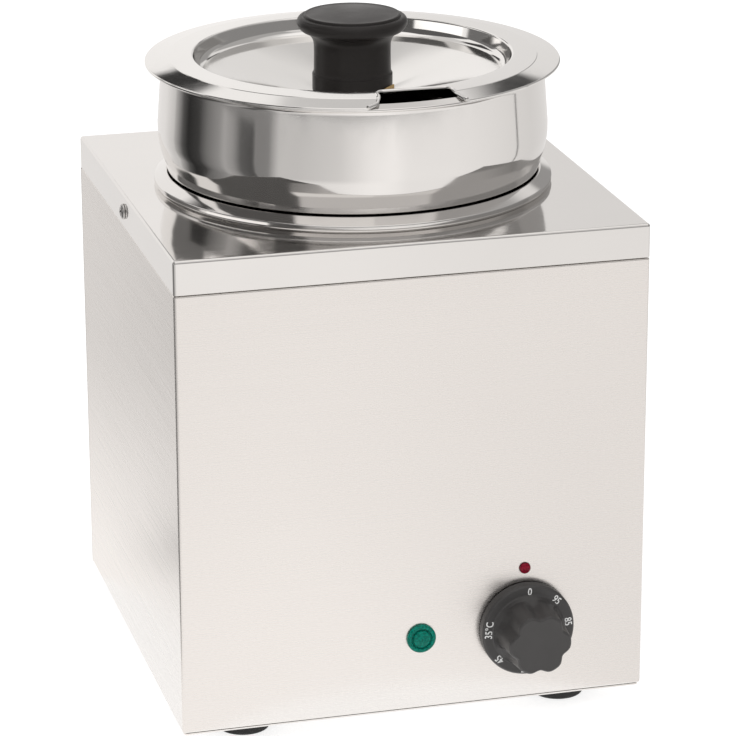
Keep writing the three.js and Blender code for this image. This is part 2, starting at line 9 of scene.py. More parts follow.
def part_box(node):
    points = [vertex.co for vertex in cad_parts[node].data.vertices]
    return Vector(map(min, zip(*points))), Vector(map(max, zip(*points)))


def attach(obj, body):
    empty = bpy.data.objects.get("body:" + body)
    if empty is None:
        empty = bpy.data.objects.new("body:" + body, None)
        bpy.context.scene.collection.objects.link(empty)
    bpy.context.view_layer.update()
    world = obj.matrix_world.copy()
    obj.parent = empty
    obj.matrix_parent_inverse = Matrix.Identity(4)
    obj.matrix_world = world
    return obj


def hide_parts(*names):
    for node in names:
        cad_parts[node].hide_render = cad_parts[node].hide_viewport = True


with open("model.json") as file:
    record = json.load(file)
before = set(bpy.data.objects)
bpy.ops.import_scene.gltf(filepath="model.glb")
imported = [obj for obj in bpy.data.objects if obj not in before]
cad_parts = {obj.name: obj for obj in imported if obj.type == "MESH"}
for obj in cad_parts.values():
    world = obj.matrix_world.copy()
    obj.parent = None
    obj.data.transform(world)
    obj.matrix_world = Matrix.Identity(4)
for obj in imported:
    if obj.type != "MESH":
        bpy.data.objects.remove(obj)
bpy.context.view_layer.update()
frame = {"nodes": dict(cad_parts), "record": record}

# Lengths below are in millimetres; piece() and the camera turn them into metres.
MM = 0.001
SHEET = 1.0
TAU = 2 * math.pi
scene = bpy.context.scene


def box_mm(node):
    """The lowest and highest corner of a CAD node, in millimetres."""
    low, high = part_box(node)
    return low / MM, high / MM


# ---- profiles and outlines ----


def rounded(points, closed=False, steps=5):
    """A line through (x, y, radius) points, with an arc of that radius at each corner."""
    line = []
    count = len(points)
    for i, (x, y, radius) in enumerate(points):
        corner = Vector((x, y))
        if radius == 0 or (not closed and i in (0, count - 1)):
            line.append(corner)
            continue
        back = (Vector(points[i - 1][:2]) - corner).normalized()
        ahead = (Vector(points[(i + 1) % count][:2]) - corner).normalized()
        half = back.angle(ahead) / 2
        centre = corner + (back + ahead).normalized() * radius / math.sin(half)
        start = corner + back * radius / math.tan(half) - centre
        end = corner + ahead * radius / math.tan(half) - centre
        first = math.atan2(start.y, start.x)
        sweep = (math.atan2(end.y, end.x) - first + math.pi) % TAU - math.pi
        for k in range(steps + 1):
            angle = first + sweep * k / steps
            line.append(centre + Vector((math.cos(angle), math.sin(angle))) * radius)
    return line


def arc(x, y, radius, start, end, steps):
    """Points of an arc, with its angles in degrees."""
    angles = [math.radians(start + (end - start) * k / steps) for k in range(steps + 1)]
    return [Vector((x + radius * math.cos(a), y + radius * math.sin(a))) for a in angles]


def flowing(points, steps=6):
    """A smooth line through all the points (Catmull-Rom)."""
    path = [Vector(p) for p in points]
    ends = [path[0] * 2 - path[1]] + path + [path[-1] * 2 - path[-2]]
    line = []
    for a, b, c, d in zip(ends, ends[1:], ends[2:], ends[3:]):
        for k in range(steps):
            t = k / steps
            line.append(0.5 * (2 * b + (c - a) * t + (2 * a - 5 * b + 4 * c - d) * t * t
                               + (3 * b - a - 3 * c + d) * t ** 3))
    line.append(path[-1])
    return line


# ---- meshes ----


def add_loops(bm, loops, closed=True, around=True):
    """Skins a mesh over loops of points. A loop of one point is a tip."""
    rows = [[bm.verts.new(p) for p in loop] for loop in loops]
    pairs = list(zip(rows, rows[1:]))
    if closed:
        pairs.append((rows[-1], rows[0]))
    for lower, upper in pairs:
        count = max(len(lower), len(upper))
        for i in range(count if around else count - 1):
            j = (i + 1) % count
            below = [lower[i % len(lower)], lower[j % len(lower)]]
            above = [upper[j % len(upper)], upper[i % len(upper)]]
            distinct = list(dict.fromkeys(below + above))
            if len(distinct) > 2:
                bm.faces.new(distinct)
    return rows


def turned_loops(profile, sides):
    """Loops of a profile of (radius, height) points turned about Z."""
    loops = []
    for r, z in profile:
        if r < 1e-6:
            loops.append([Vector((0, 0, z))])
        else:
            angles = [TAU * i / sides for i in range(sides)]
            loops.append([Vector((r * math.sin(a), -r * math.cos(a), z)) for a in angles])
    return loops


def new_mesh(name, bm):
    """A mesh from bmesh, with its faces turned outward."""
    bmesh.ops.recalc_face_normals(bm, faces=bm.faces)
    mesh = bpy.data.meshes.new(name)
    bm.to_mesh(mesh)
    bm.free()
    return mesh


def turned(name, profile, sides=160, shape=None):
    """A turned mesh: a profile that ends on the axis, or a closed ring. shape moves each point."""
    closed = profile[0][0] > 1e-6 or profile[-1][0] > 1e-6
    bm = bmesh.new()
    add_loops(bm, turned_loops(profile, sides), closed=closed)
    if shape:
        for vert in bm.verts:
            vert.co = shape(vert.co)
    return new_mesh(name, bm)


def place(mesh, position=(0, 0, 0), turn=None):
    """Turns a mesh and moves it to its position, in millimetres."""
    rotation = turn.to_4x4() if turn else Matrix.Identity(4)
    mesh.transform(Matrix.Translation(position) @ rotation)
    return mesh


def merged(name, meshes):
    """One mesh from several."""
    bm = bmesh.new()
    for mesh in meshes:
        bm.from_mesh(mesh)
        bpy.data.meshes.remove(mesh)
    mesh = bpy.data.meshes.new(name)
    bm.to_mesh(mesh)
    bm.free()
    return mesh


def evaluated(obj):
    """The object's mesh with its modifiers applied, or its curve as a mesh. The object is removed."""
    graph = bpy.context.evaluated_depsgraph_get()
    mesh = bpy.data.meshes.new_from_object(obj.evaluated_get(graph))
    bpy.data.objects.remove(obj)
    return mesh


def carved(mesh, *tools):
    """The mesh with closed tool meshes cut out of it."""
    obj = bpy.data.objects.new("carved", mesh)
    scene.collection.objects.link(obj)
    cutters = []
    for tool in tools:
        cutter = bpy.data.objects.new("cutter", tool)
        scene.collection.objects.link(cutter)
        cut = obj.modifiers.new("cut", "BOOLEAN")
        cut.operation = "DIFFERENCE"
        cut.solver = "EXACT"
        cut.object = cutter
        cutters.append(cutter)
    bpy.context.view_layer.update()
    result = evaluated(obj)
    for cutter in cutters:
        bpy.data.objects.remove(cutter)
    return result


def tube_along(name, points, radius, resolution=5, closed=False):
    """A round rod along a line of points."""
    curve = bpy.data.curves.new(name, "CURVE")
    curve.dimensions = "3D"
    curve.bevel_depth = radius
    curve.bevel_resolution = resolution
    curve.use_fill_caps = True
    spline = curve.splines.new("POLY")
    spline.points.add(len(points) - 1)
    for knot, point in zip(spline.points, points):
        knot.co = (*point, 1)
    spline.use_cyclic_u = closed
    obj = bpy.data.objects.new(name, curve)
    scene.collection.objects.link(obj)
    return evaluated(obj)


def prism(outline, low, high):
    """A straight prism of an outline, between two heights."""
    bm = bmesh.new()
    rows = add_loops(bm, [[Vector((x, y, z)) for x, y in outline] for z in (low, high)], closed=False)
    for row in rows:
        bm.faces.new(row)
    return new_mesh("prism", bm)


def rod_along_y(x, z, radius, low, high, sides=48):
    """A plain rod parallel to Y, for cutting holes."""
    mesh = turned("rod", [(0, low), (radius, low), (radius, high), (0, high)], sides)
    return place(mesh, (x, 0, z), Matrix.Rotation(-math.pi / 2, 3, "X"))


TO_FRONT = Matrix.Rotation(math.pi / 2, 3, "X")  # turns +Z to -Y
TO_REAR = Matrix.Rotation(-math.pi / 2, 3, "X")
DOWNWARD = Matrix.Rotation(math.pi, 3, "X")


def piece(name, mesh, body, finish, replaces=(), sharp=32):
    """A finished piece: it rides on its body, takes its finish and stands for CAD nodes."""
    mesh.transform(Matrix.Scale(MM, 4))
    mesh.name = name
    for polygon in mesh.polygons:
        polygon.use_smooth = True
    mesh.set_sharp_from_angle(angle=math.radians(sharp))
    mesh.materials.clear()
    mesh.materials.append(finish)
    obj = bpy.data.objects.new(name, mesh)
    scene.collection.objects.link(obj)
    even = obj.modifiers.new("even_normals", "WEIGHTED_NORMAL")
    even.keep_sharp = True
    even.weight = 60
    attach(obj, body)
    if replaces:
        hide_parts(*replaces)
    return obj


# ---- finishes ----


class Finish:
    """A node material under construction, with constant values set on the shader's own sockets."""

    def __init__(self, name, color, roughness, metallic=0.0, **values):
        self.material = bpy.data.materials.new(name)
        self.material.use_nodes = True
        self.nodes = self.material.node_tree.nodes
        self.links = self.material.node_tree.links
        self.shader = self.nodes["Principled BSDF"]
        self.color = color
        self.roughness = roughness
        self.bump = None
        self.set(self.shader, {"Base Color": (*color, 1), "Roughness": roughness, "Metallic": metallic})
        self.set(self.shader, values)
        self.place = self.node("ShaderNodeTexCoord").outputs["Object"]

    def set(self, node, values):
        for socket, value in values.items():
            node.inputs[socket].default_value = value

    def node(self, kind, inputs=None, **settings):
        made = self.nodes.new(kind)
        for key, value in settings.items():
            setattr(made, key, value)
        for socket, value in (inputs or {}).items():
            if isinstance(value, bpy.types.NodeSocket):
                self.links.new(value, made.inputs[socket])
            else:
                made.inputs[socket].default_value = value
        return made

    def stretched(self, x, y, z):
        """The place, stretched, so that a noise gives lines."""
        return self.node("ShaderNodeMapping", {"Vector": self.place, "Scale": (x, y, z)}).outputs["Vector"]

    def around(self, angle_scale, radius_scale, height_scale):
        """Place round the Z axis, so that a noise gives the rings a polishing wheel leaves."""
        part = self.node("ShaderNodeSeparateXYZ", {"Vector": self.place})
        x, y, z = (part.outputs[axis] for axis in "XYZ")
        angle = self.math("ARCTAN2", y, x)
        square = self.math("ADD", self.math("MULTIPLY", x, x), self.math("MULTIPLY", y, y))
        radius = self.math("SQRT", square)
        values = {
            "X": self.math("MULTIPLY", self.math("SINE", angle), angle_scale),
            "Y": self.math("MULTIPLY", radius, radius_scale),
            "Z": self.math("MULTIPLY", z, height_scale),
        }
        return self.node("ShaderNodeCombineXYZ", values).outputs["Vector"]

    def math(self, operation, a, b=0.0):
        made = self.node("ShaderNodeMath", operation=operation)
        for socket, value in zip(made.inputs, (a, b)):
            if isinstance(value, bpy.types.NodeSocket):
                self.links.new(value, socket)
            else:
                socket.default_value = value
        return made.outputs[0]

    def noise(self, place, scale, detail=3.0, roughness=0.5):
        values = {"Vector": place, "Scale": scale, "Detail": detail, "Roughness": roughness}
        return self.node("ShaderNodeTexNoise", values).outputs[0]

    def spread(self, value, low, high, start=0.3, end=0.7):
        """Maps a value between two limits."""
        values = {"Value": value, "From Min": start, "From Max": end, "To Min": low, "To Max": high}
        return self.node("ShaderNodeMapRange", values).outputs["Result"]

    def vary_roughness(self, value, amount):
        rough = self.spread(value, max(self.roughness - amount, 0.01), self.roughness + amount)
        self.links.new(rough, self.shader.inputs["Roughness"])

    def vary_color(self, value, amount):
        """Darkens and lightens the colour by a share of itself."""
        low = [c * (1 - amount) for c in self.color]
        high = [min(c * (1 + amount), 1.0) for c in self.color]
        mix = self.node("ShaderNodeMix", data_type="RGBA")
        self.links.new(self.spread(value, 0, 1), mix.inputs[0])
        mix.inputs[6].default_value = (*low, 1)
        mix.inputs[7].default_value = (*high, 1)
        self.links.new(mix.outputs[2], self.shader.inputs["Base Color"])

    def raise_by(self, value, height_mm, strength=1.0):
        """Adds a bump of that height on top of any bump there is."""
        values = {"Height": value, "Distance": height_mm * MM, "Strength": strength}
        if self.bump:
            values["Normal"] = self.bump
        self.bump = self.node("ShaderNodeBump", values).outputs["Normal"]
        self.links.new(self.bump, self.shader.inputs["Normal"])


def brushed_steel():
    """Satin sheet, brushed in fine level lines."""
    f = Finish("brushed_steel", (0.83, 0.80, 0.775), 0.27, 1.0, Anisotropic=0.45)
    lines = f.noise(f.stretched(9, 9, 1500), 1.0, 4.0, 0.6)
    fine = f.noise(f.stretched(40, 40, 5200), 1.0, 2.0)
    f.vary_roughness(lines, 0.025)
    f.vary_color(f.noise(f.place, 9.0, 3.0), 0.006)
    f.raise_by(lines, 0.003, 0.25)
    f.raise_by(fine, 0.002, 0.25)
    f.raise_by(f.noise(f.place, 7.0, 1.0), 0.25, 0.06)
    return f.material


def cover_steel():
    """Bright rolled sheet, nearly a mirror, with the slight waves of thin metal and faint wipe marks."""
    f = Finish("polished_steel", (0.80, 0.785, 0.77), 0.085, 1.0)
    marks = f.noise(f.stretched(26, 160, 60), 1.0, 5.0, 0.6)
    f.vary_roughness(marks, 0.03)
    f.vary_color(f.noise(f.place, 12.0, 2.0), 0.012)
    f.raise_by(f.noise(f.place, 11.0, 1.0), 0.35, 0.10)
    f.raise_by(marks, 0.003, 0.15)
    return f.material


def ringed_steel(name, color, roughness, rings, waves):
    """Turned and polished steel with the fine rings that the polishing wheel leaves."""
    f = Finish(name, color, roughness, 1.0)
    lines = f.noise(f.around(1.5, 1500, 1500), 1.0, 3.0, 0.6)
    marks = f.noise(f.stretched(70, 70, 30), 1.0, 4.0, 0.6)
    f.vary_roughness(marks, roughness * 0.35)
    f.vary_color(f.noise(f.place, 16.0, 2.0), 0.012)
    f.raise_by(lines, rings, 0.35)
    f.raise_by(f.noise(f.around(1.2, 14, 14), 1.0, 1.0), waves, 0.2)
    return f.material


def moulded(name, color, roughness, grain=0.02, grain_scale=2600, metallic=0.0, uneven=0.1, **values):
    """Moulded plastic, rubber or plated metal: a fine grain, with uneven gloss and tone."""
    f = Finish(name, color, roughness, metallic, **values)
    clouds = f.noise(f.place, 60.0, 4.0, 0.6)
    f.vary_roughness(clouds, roughness * 0.15)
    f.vary_color(clouds, uneven)
    f.raise_by(f.noise(f.place, grain_scale, 2.0), grain, 0.5)
    return f.material


def lens(name, color, cell):
    """Coloured clear plastic whose tone deepens where its inner pattern does."""
    f = Finish(name, color, 0.16, IOR=1.22)
    cells = f.node("ShaderNodeTexVoronoi", {"Vector": f.place, "Scale": cell}).outputs["Distance"]
    f.vary_color(cells, 0.30)
    f.vary_roughness(f.noise(f.place, 300.0, 2.0), 0.05)
    f.raise_by(cells, 0.05, 0.25)
    f.set(f.shader, {"Subsurface Weight": 0.25, "Subsurface Radius": (0.002, 0.002, 0.002)})
    return f.material


FINISHES = {
    "brushed_steel": brushed_steel(),
    "polished_steel": cover_steel(),
    "pot_steel": ringed_steel("pot_steel", (0.83, 0.815, 0.80), 0.075, 0.002, 0.10),
    "lid_steel": ringed_steel("lid_steel", (0.86, 0.85, 0.835), 0.07, 0.002, 0.06),
    "screw_steel": moulded("screw_steel", (0.60, 0.59, 0.58), 0.28, 0.01, 900, 1.0),
    "knob_plastic": moulded("knob_plastic", (0.024, 0.0215, 0.0205), 0.36, 0.012, 3200, IOR=1.28),
    "dial_plastic": moulded("dial_plastic", (0.042, 0.040, 0.0395), 0.42, 0.014, 3000),
    "brass": moulded("brass", (0.72, 0.50, 0.22), 0.24, 0.004, 1500, 1.0),
    "zinc": moulded("zinc", (0.60, 0.61, 0.62), 0.34, 0.006, 900, 1.0),
    "aluminium": moulded("aluminium", (0.70, 0.71, 0.72), 0.42, 0.008, 500, 1.0),
    "element_sheath": moulded("element_sheath", (0.30, 0.26, 0.23), 0.5, 0.02, 700, 1.0),
    "capillary": moulded("capillary", (0.62, 0.38, 0.26), 0.3, 0.004, 900, 1.0),
    "black_plastic": moulded("black_plastic", (0.022, 0.022, 0.022), 0.5),
    "grey_plastic": moulded("grey_plastic", (0.25, 0.26, 0.27), 0.55),
    "white_plastic": moulded("white_plastic", (0.74, 0.73, 0.69), 0.5),
    "gland_plastic": moulded("gland_plastic", (0.030, 0.030, 0.032), 0.46),
    "rubber": moulded("rubber", (0.016, 0.0155, 0.015), 0.72, 0.03, 1800),
    "green_lens": lens("green_lens", (0.002, 0.155, 0.112), 900),
    "red_lens": lens("red_lens", (0.17, 0.006, 0.018), 1100),
    "wire_brown": moulded("wire_brown", (0.14, 0.06, 0.03), 0.5),
    "wire_black": moulded("wire_black", (0.025, 0.025, 0.025), 0.5),
    "wire_blue": moulded("wire_blue", (0.04, 0.11, 0.36), 0.5),
    "wire_white": moulded("wire_white", (0.74, 0.73, 0.70), 0.5),
}
number_paint = moulded("number_paint", (0.78, 0.78, 0.77), 0.5, 0.006, 2000, uneven=0.05)

slot_of = {part["node"]: part["material_slot"] for part in frame["record"]["subparts"]}
for node, obj in frame["nodes"].items():
    obj.data.materials.clear()
    obj.data.materials.append(FINISHES[slot_of[node]])


def stand_for(name, mesh, body, replaces, sharp=32):
    """A piece in the finish and the slot of the first CAD node that it replaces."""
    slot = slot_of[replaces[0]]
    return piece(name, mesh, body, FINISHES[slot], replaces, sharp)


# ---- housing ----

HALF = box_mm("top_cover")[1].x
COVER_LOW, COVER_TOP = box_mm("top_cover")[0].z, box_mm("top_cover")[1].z
BEND = 1.7  # outside radius of the housing's folds


def square_loop(inset, z, along=9):
    """A loop round the housing, at a distance inside its faces."""
    radius = max(BEND - inset, 0.15)
    centre = HALF - inset - radius
    loop = []
    for sx, sy, start in ((1, -1, 270), (1, 1, 0), (-1, 1, 90), (-1, -1, 180)):
        loop += arc(sx * centre, sy * centre, radius, start, start + 90, 6)
        turned_by = math.radians(start + 180)
        ahead = Vector((round(math.cos(turned_by)), round(math.sin(turned_by))))
        first = loop[-1]
        for k in range(1, along):
            loop.append(first + ahead * (2 * centre * k / along))
    return [Vector((p.x, p.y, z)) for p in loop]


def cover_mesh():
    """Flat sheet with a folded skirt and a round hole that the well's bead covers."""
    hole = box_mm("well")[1].x - 6.1
    under = COVER_TOP - SHEET
    outer = rounded([
        (SHEET, COVER_LOW, 0.2), (0, COVER_LOW, 0.3), (0, COVER_TOP, BEND), (8, COVER_TOP, 0),
    ], steps=6)
    inner = rounded([(8, under, 0), (SHEET, under, 0.6), (SHEET, COVER_LOW + 0.4, 0)], steps=4)

    def ring(z):
        return [Vector((p.x, p.y, 0)).normalized() * hole + Vector((0, 0, z)) for p in square_loop(8, 0)]

    loops = [square_loop(inset, z) for inset, z in outer]
    loops += [ring(COVER_TOP), ring(under)]
    loops += [square_loop(inset, z) for inset, z in inner]
    bm = bmesh.new()
    add_loops(bm, loops)
    return new_mesh("cover", bm)


def casing_mesh():
    """Front and both sides of one sheet, folded in at the foot, with a stepped-in lip under the cover."""
    low, high = box_mm("casing")
    step = COVER_LOW - 0.5
    section = rounded([
        (5, low.z, 0), (0, low.z, 1.3), (0, step, 0.8), (1.35, step, 0.2), (1.35, high.z, 0),
        (2.3, high.z, 0), (2.3, step - SHEET, 0.2), (SHEET, step - SHEET, 0.2),
        (SHEET, low.z + SHEET, 0.3), (5, low.z + SHEET, 0),
    ], closed=True, steps=4)
    rear = box_mm("rear_panel")[0].y + 0.9
    rows = []
    for inset, z in section:
        radius = max(BEND - inset, 0.15)
        centre = HALF - inset - radius
        line = [Vector((-(HALF - inset), rear))]
        line += arc(-centre, -centre, radius, 180, 270, 6) + arc(centre, -centre, radius, 270, 360, 6)
        line.append(Vector((HALF - inset, rear)))
        rows.append([Vector((p.x, p.y, z)) for p in line])
    bm = bmesh.new()
    made = add_loops(bm, rows, closed=True, around=False)
    bm.faces.new([row[0] for row in made])
    bm.faces.new([row[-1] for row in made])
    holes = []
    for node, radius in (("green_lamp_body", 6.6), ("red_lamp_body", 3.35), ("dial_clip", 6.0)):
        near, far = box_mm(node)
        middle = (near + far) / 2
        holes.append(rod_along_y(middle.x, middle.z, radius, -HALF - 2, -HALF + 2))
    return carved(new_mesh("casing", bm), *holes)


stand_for("cover_sheet", cover_mesh(), "base", ["top_cover"])
stand_for("casing_sheet", casing_mesh(), "base", ["casing"])

# ---- well ----


def well_mesh():
    """A deep drawn bucket whose rim is rolled outwards into a bead that slopes down to the outside."""
    low, high = box_mm("well")
    bead = 4.0
    inner = high.x - 2 * bead
    outer = inner + SHEET
    middle = high.z - bead
    low_edge = high.z - 2 * bead
    wall = rounded([(0, low.z, 0), (outer, low.z, 8), (outer, middle - 2.6, 0)], steps=8)
    rim = rounded([
        (outer, middle - 2.6, 0), (outer + 1.6, low_edge, 0.8), (high.x - 1.4, low_edge, 1.0),
        (high.x, middle - 1.8, 1.3), (high.x - 0.2, middle + 0.4, 1.0), (inner + 1.3, high.z, 1.2),
        (inner, high.z - 0.5, 0.5), (inner, middle - 1, 0),
    ], steps=7)
    lining = rounded([(inner, middle - 1, 0), (inner, low.z + SHEET, 7), (0, low.z + SHEET, 0)], steps=8)
    return turned("well", wall[:-1] + rim + lining[1:], 192)


stand_for("well_bucket", well_mesh(), "base", ["well"])

# ---- pot ----


def pot_mesh():
    """Straight lower body, a curve outward above the bead, a collar and a flared, rolled rim."""
    low, high = box_mm("pot")
    top, edge = high.z, high.x
    body, bulge, neck = 102.0, 110.0, 107.7
    ledge = 290.6  # height of the short step over the bead
    outside = rounded([
        (0, low.z, 0), (body, low.z, 8), (body, ledge, 1.2), (104.7, ledge, 2.2),
        (108.6, ledge + 12, 22), (bulge, 311, 24), (bulge, 318, 0),
    ], steps=9)
    flare = rounded([
        (bulge, 318, 0), (neck, top - 5.4, 3), (neck + 2.6, top - 1.9, 1.4),
        (edge - 1.9, top - 2.5, 0.4), (edge - 1.3, top - 3.3, 0.3), (edge, top - 3.1, 0.8),
        (edge, top - 1.7, 0.8), (neck + 0.2, top, 1.4), (neck - SHEET, top - 0.6, 0.5),
        (neck - SHEET, top - 6, 3), (bulge - SHEET, 318, 6), (bulge - SHEET, 311.2, 24),
        (107.6, 302.8, 21), (103.9, ledge + SHEET, 1.4), (body - SHEET, ledge + SHEET, 0.4),
        (body - SHEET, low.z + SHEET, 7), (0, low.z + SHEET, 0),
    ], steps=7)
    return turned("pot", outside + flare[1:], 224)


stand_for("pot_vessel", pot_mesh(), "pot", ["pot"])

# ---- lid ----

LID_LOW, LID_HIGH = box_mm("lid_plate")
LID_TOP = LID_HIGH.z
LID_R = LID_HIGH.y
STEP_R = 89.4  # where the ring round the sunk disc begins
CREASE = 103.7  # where the ring ends and the brim begins
CROWN = 200.0  # radius of the ring's slightly rounded top
GROOVE = 0.25  # depth of the fold line between ring and brim
EDGE_TOP = LID_TOP - 2.7


def brim_z(r):
    """Height of the lid's upper face outside its sunk disc."""
    ring = LID_TOP - (min(r, CREASE) - STEP_R) ** 2 / (2 * CROWN)
    fold = ring - GROOVE
    slope = (fold - EDGE_TOP) / (LID_R - 0.5 - CREASE)
    return ring if r < CREASE else fold - (r - CREASE) * slope


def lid_profile():
    """Dished disc, step, crowned ring, fold line, sloped brim and turned-down edge: a closed section."""
    centre = LID_LOW.z + SHEET
    ring = [(r, brim_z(r), 0) for r in (92, 94, 96, 98, 100, 102)]
    return rounded([
        (3.4, centre, 0), (22.6, centre, 8), (87.3, LID_TOP - 9.2, 5.5), (STEP_R, LID_TOP, 1.4),
        *ring,
        (CREASE - 0.25, brim_z(CREASE - 0.3), 0.2), (CREASE, brim_z(CREASE), 0.1),
        (CREASE + 0.6, brim_z(CREASE + 0.6), 0.6), (LID_R - 0.4, EDGE_TOP, 0.5),
        (LID_R, EDGE_TOP - 0.5, 0.3), (LID_R, EDGE_TOP - 1.4, 0.4), (LID_R - 1.3, EDGE_TOP - 1.5, 0.3),
        (LID_R - 1.9, EDGE_TOP - 0.8, 0.4), (CREASE, brim_z(CREASE) - SHEET, 5),
        (STEP_R + 1, LID_TOP - SHEET, 1), (88.2, LID_TOP - 10.2, 6.3), (22.6, centre - SHEET, 8),
        (3.4, centre - SHEET, 0),
    ], steps=7)


NOTCH_X = 9.6  # the notch is this far to the right of the middle
NOTCH_IN = 91.3  # distance of the notch's inner edge in front of the axis


def notch_outline(spread=0.0):
    """Right rim, round both inner corners, left rim: straight sides that flare out at the rim."""
    y = -NOTCH_IN + spread
    side = [(38, -LID_R - 1, 0), (24.3, -109.6, 5), (20.9, -101, 12), (20.2, y, 4 + spread)]
    right = [(NOTCH_X + x + spread, v, radius) for x, v, radius in side]
    left = [(NOTCH_X - x - spread, v, radius) for x, v, radius in reversed(side)]
    return rounded(right + left, steps=8)


def notch_lip():
    """The rolled edge round the notch: it follows the brim's slope from rim to rim."""
    line = []
    outline = notch_outline(0.5)
    for a, b in zip(outline, outline[1:]):
        pieces = max(int((b - a).length / 1.2), 1)
        line += [a + (b - a) * k / pieces for k in range(pieces)]
    line.append(outline[-1])
    reach = LID_R - 1.3
    kept = [p for p in line if p.length < reach]
    return [Vector((p.x, p.y, brim_z(p.length) - 0.35)) for p in kept]


def lid_mesh():
    plate = turned("lid", lid_profile(), 224)
    plate = carved(plate, prism(notch_outline(), LID_TOP - 14, LID_TOP + 6))
    lip = tube_along("lip", notch_lip(), 1.2, 6)
    return merged("lid", [plate, lip])


stand_for("lid_sheet", lid_mesh(), "lid", ["lid_plate"])


def knob_mesh():
    """Mushroom knob: collar, parting groove, neck, flared cap, ridge and a slightly domed top."""
    low, high = box_mm("lid_knob")
    z = low.z
    foot = rounded([
        (0, z, 0), (22.6, z, 0.8), (22.6, z + 9.9, 0.25), (22.1, z + 10.15, 0.1),
        (22.3, z + 10.4, 0.15), (21.8, z + 11.2, 0.6),
    ], steps=3)
    cap = flowing([
        (21.7, z + 13), (21.6, z + 19), (21.6, z + 25), (21.9, z + 28.2), (22.8, z + 30.6),
        (24.6, z + 32.7), (26.9, z + 34.3), (28.6, z + 35.0), (29.9, z + 36.2), (30.8, z + 38.0),
        (31.0, z + 39.7), (30.5, z + 41.2), (29.4, z + 42.3), (28.3, z + 42.65), (27.45, z + 42.5),
        (27.15, z + 42.75), (27.05, z + 43.4), (26.7, z + 43.85), (25.9, z + 44.0), (25.0, z + 43.85),
        (22.0, z + 43.95), (14.0, high.z - 0.35), (0.0, high.z - 0.02),
    ], 5)
    return turned("knob", foot + cap, 160)


stand_for("knob_cap", knob_mesh(), "lid", ["lid_knob"], sharp=40)


TAB_TURN = 48  # degrees from the front towards the right


def washer_mesh():
    """A brass washer under the knob, with one tab bent up against the knob's collar."""
    low, high = box_mm("knob_washer")
    top = box_mm("lid_knob")[0].z - 0.1
    section = rounded([
        (3.4, low.z, 0), (21.4, low.z, 0.5), (21.4, top, 0.5), (3.4, top, 0),
    ], closed=True, steps=4)
    bent = rounded([
        (20, low.z + 0.1, 0), (23.6, low.z + 0.1, 1.2), (23.6, high.z, 0.3), (22.75, high.z, 0.3),
        (22.75, top - 0.1, 0.4), (20, top - 0.1, 0),
    ], closed=True, steps=4)
    upright = Matrix(((1, 0, 0), (0, 0, -1), (0, 1, 0)))  # stands the tab's outline up
    round_to = Matrix.Rotation(math.radians(TAB_TURN - 90), 3, "Z")
    tab = place(prism(bent, -5.5, 5.5), turn=round_to @ upright)
    return merged("washer", [turned("washer", section, 96), tab])


stand_for("knob_ring", washer_mesh(), "lid", ["knob_washer"])

# ---- dial ----

DIAL_LOW, DIAL_HIGH = box_mm("dial_knob")
DIAL_X = (DIAL_LOW.x + DIAL_HIGH.x) / 2
DIAL_Z = (DIAL_LOW.z + DIAL_HIGH.z) / 2
DIAL_AT = (DIAL_X, -HALF, DIAL_Z)
DIAL_R = (DIAL_HIGH.x - DIAL_LOW.x) / 2
PROUD = -HALF - DIAL_LOW.y
DISC_FACE = 7.2


def fluted(point):
    """Presses six finger grooves into the side of the dial's grip."""
    height = (point.z - DISC_FACE) / (PROUD - DISC_FACE)
    reach = math.hypot(point.x, point.y)
    if height < 0.02 or reach < 9:
        return point
    deep = min(max((height - 0.02) / 0.28, 0), 1)
    inward = min(max((reach - 9) / 5, 0), 1)
    angle = math.atan2(point.x, point.y)
    groove = (0.5 + 0.5 * math.cos(6 * angle)) ** 2
    scale = 1 - 0.15 * deep * inward * groove
    return Vector((point.x * scale, point.y * scale, point.z))


def dial_mesh():
    """Scale disc and tapered grip in one moulding, hollow behind."""
    section = rounded([
        (3.4, 12, 0), (8, 12, 0.5), (8, 1.6, 0.3), (24, 1.6, 0.3), (24.5, 0.8, 0.2), (DIAL_R, 0.8, 0.3),
        (DIAL_R, DISC_FACE - 1.2, 0.5), (DIAL_R - 1.0, DISC_FACE, 0.6), (20.9, DISC_FACE, 1.2),
        (19.8, 10, 1.5), (17.9, PROUD - 1.2, 1.2), (16.7, PROUD, 1.2), (15.6, PROUD - 0.15, 0.5),
        (3.4, PROUD - 0.25, 0), (0, PROUD - 0.25, 0), (0, 24, 0), (3.4, 24, 0),
    ], steps=5)
    dense = []
    for a, b in zip(section, section[1:]):
        pieces = max(int((b - a).length / 1.6), 1)
        dense += [a + (b - a) * k / pieces for k in range(pieces)]
    dense.append(section[-1])
    bm = bmesh.new()
    add_loops(bm, turned_loops(dense, 192), closed=True)
    bmesh.ops.remove_doubles(bm, verts=bm.verts, dist=1e-4)
    for vert in bm.verts:
        vert.co = fluted(vert.co)
    return place(new_mesh("dial", bm), DIAL_AT, TO_FRONT)


# The scale's numbers and their places, in degrees clockwise from the top.
DIAL_MARKS = [("0", 1), ("95", 44), ("85", 83), ("75", 117), ("65", 150), ("55", 185), ("45", 227),
              ("35°C", 276)]


